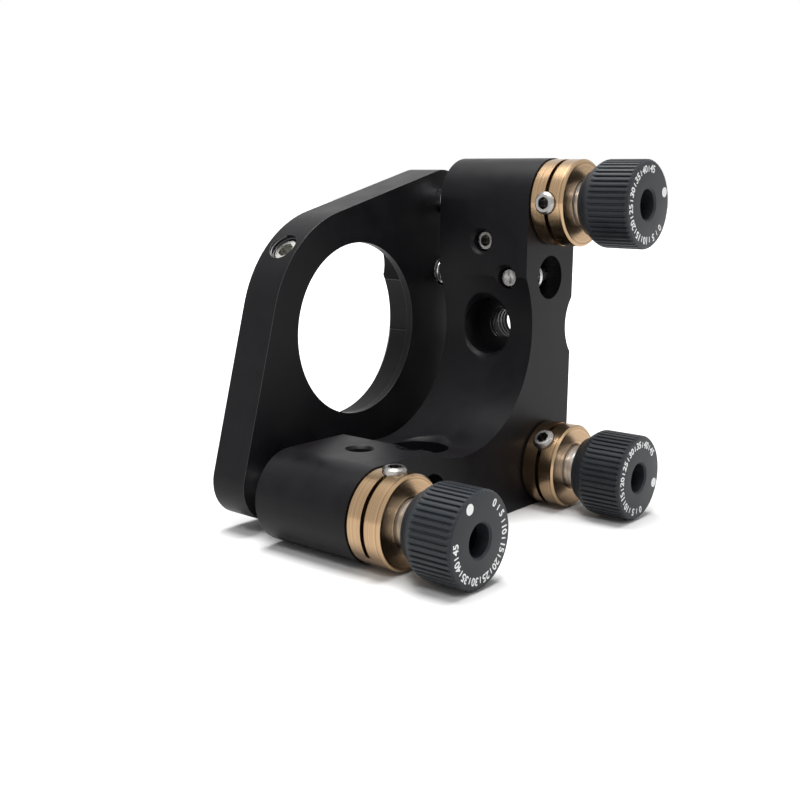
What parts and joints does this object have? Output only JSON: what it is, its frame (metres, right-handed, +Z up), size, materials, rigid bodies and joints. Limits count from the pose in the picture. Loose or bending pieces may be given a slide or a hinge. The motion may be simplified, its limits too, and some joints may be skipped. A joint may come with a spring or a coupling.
{
  "type": "kinematic mirror mount",
  "caption": "Tip and tilt mount for a round mirror: an L-shaped back plate with fine adjusters holds a sprung mirror plate on ball tips.",
  "frame": {"origin": "on the optical axis, in the plane that the mirror seats on", "axes": "+Y along the optical axis from the mirror towards the knobs, +Z up from the base, +X from the full-height arm towards the open side"},
  "size_m": [0.049, 0.0401, 0.049],
  "materials": {
    "black_anodised": "black anodised, satin",
    "bronze": "turned phosphor bronze",
    "adjuster_steel": "fine thread, ground ends",
    "screw_steel": "plain stainless",
    "hard_steel": "polished hard steel",
    "spring_steel": "drawn wire",
    "knob_black": "black anodised, fluted, white dial marks",
    "soft_tip": "plain nylon"
  },
  "bodies": {
    "back_plate": {"back_plate": "black_anodised", "bush_top": "bronze", "bush_corner": "bronze", "bush_side": "bronze", "bush_screw_top": "screw_steel", "bush_screw_side": "screw_steel", "anchor_screw_left": "screw_steel", "anchor_screw_bottom": "screw_steel"},
    "ball_top": {"ball_top": "hard_steel"},
    "ball_corner": {"ball_corner": "hard_steel"},
    "ball_side": {"ball_side": "hard_steel"},
    "adjuster_top": {"adjuster_screw_top": "adjuster_steel", "knob_top": "knob_black"},
    "adjuster_corner": {"adjuster_screw_corner": "adjuster_steel", "knob_corner": "knob_black"},
    "adjuster_side": {"adjuster_screw_side": "adjuster_steel", "knob_side": "knob_black"},
    "lock_top": {"lock_screw_top": "screw_steel"},
    "lock_corner": {"lock_screw_corner": "screw_steel"},
    "lock_side": {"lock_screw_side": "screw_steel"},
    "spring_bottom": {"spring_bottom": "spring_steel"},
    "spring_left": {"spring_left": "spring_steel"},
    "front_plate": {"front_plate": "black_anodised", "cone_seat": "hard_steel", "vee_seat": "hard_steel", "flat_seat": "hard_steel", "spring_pin_left": "spring_steel", "spring_pin_bottom": "spring_steel"},
    "mirror_clamp": {"mirror_screw": "screw_steel", "mirror_screw_tip": "soft_tip"}
  },
  "joints": [
    {"name": "adjuster_top_travel", "type": "slide", "parent": "back_plate", "child": "ball_top", "axis": [0, 1, 0], "range_m": [-0.00125, 0.0015]},
    {"name": "adjuster_top_turn", "type": "hinge", "parent": "ball_top", "child": "adjuster_top", "pos_m": [-0.01935, 0.03, 0.01755], "axis": [0, 1, 0], "range_deg": [-1800, 2160]},
    {"name": "adjuster_corner_travel", "type": "slide", "parent": "back_plate", "child": "ball_corner", "axis": [0, 1, 0], "range_m": [-0.00125, 0.0015]},
    {"name": "adjuster_corner_turn", "type": "hinge", "parent": "ball_corner", "child": "adjuster_corner", "pos_m": [-0.01935, 0.03, -0.01935], "axis": [0, 1, 0], "range_deg": [-1800, 2160]},
    {"name": "adjuster_side_travel", "type": "slide", "parent": "back_plate", "child": "ball_side", "axis": [0, 1, 0], "range_m": [-0.00125, 0.0015]},
    {"name": "adjuster_side_turn", "type": "hinge", "parent": "ball_side", "child": "adjuster_side", "pos_m": [0.01755, 0.03, -0.01935], "axis": [0, 1, 0], "range_deg": [-1800, 2160]},
    {"name": "mirror_plate_yaw", "type": "hinge", "parent": "back_plate", "child": "spring_bottom", "pos_m": [-0.01935, 0.0037, -0.01935], "axis": [0, -0.0184, 0.9998], "range_deg": [-1.94, 2.33], "deforming": ["spring_bottom"]},
    {"name": "mirror_plate_pitch", "type": "hinge", "parent": "spring_bottom", "child": "spring_left", "pos_m": [-0.01935, 0.0037, -0.01935], "axis": [-1, 0.0049, 0], "range_deg": [-1.94, 2.33], "deforming": ["spring_left"]},
    {"name": "mirror_plate_tilt", "type": "hinge", "parent": "spring_left", "child": "front_plate", "pos_m": [-0.01935, 0.00302, 0.01755], "axis": [0.7071, 0.0096, -0.7071], "range_deg": [-2.75, 3.29]},
    {"name": "lock_top_turn", "type": "hinge", "parent": "back_plate", "child": "lock_top", "pos_m": [-0.01385, 0.0224, 0.01755], "axis": [1, 0, 0], "range_deg": [0, 180]},
    {"name": "lock_corner_turn", "type": "hinge", "parent": "back_plate", "child": "lock_corner", "pos_m": [-0.01546, 0.0224, -0.01546], "axis": [0.7071, 0, 0.7071], "range_deg": [0, 180]},
    {"name": "lock_side_turn", "type": "hinge", "parent": "back_plate", "child": "lock_side", "pos_m": [0.01755, 0.0224, -0.01385], "axis": [0, 0, 1], "range_deg": [0, 180]},
    {"name": "mirror_screw_turn", "type": "hinge", "parent": "front_plate", "child": "mirror_clamp", "pos_m": [0.01061, -0.00193, 0.01061], "axis": [0.7071, 0, 0.7071], "range_deg": [-180, 180]}
  ],
  "couplings": [
    {"joint": "adjuster_top_turn", "follows": "adjuster_top_travel", "rad_per_m": 25133},
    {"joint": "adjuster_corner_turn", "follows": "adjuster_corner_travel", "rad_per_m": 25133},
    {"joint": "adjuster_side_turn", "follows": "adjuster_side_travel", "rad_per_m": 25133},
    {"joint": "mirror_plate_yaw", "follows": "adjuster_side_travel", "rad_per_m": 27.105},
    {"joint": "mirror_plate_pitch", "follows": "adjuster_top_travel", "rad_per_m": 27.101},
    {"joint": "mirror_plate_tilt", "follows": "adjuster_corner_travel", "rad_per_m": 38.327}
  ]
}
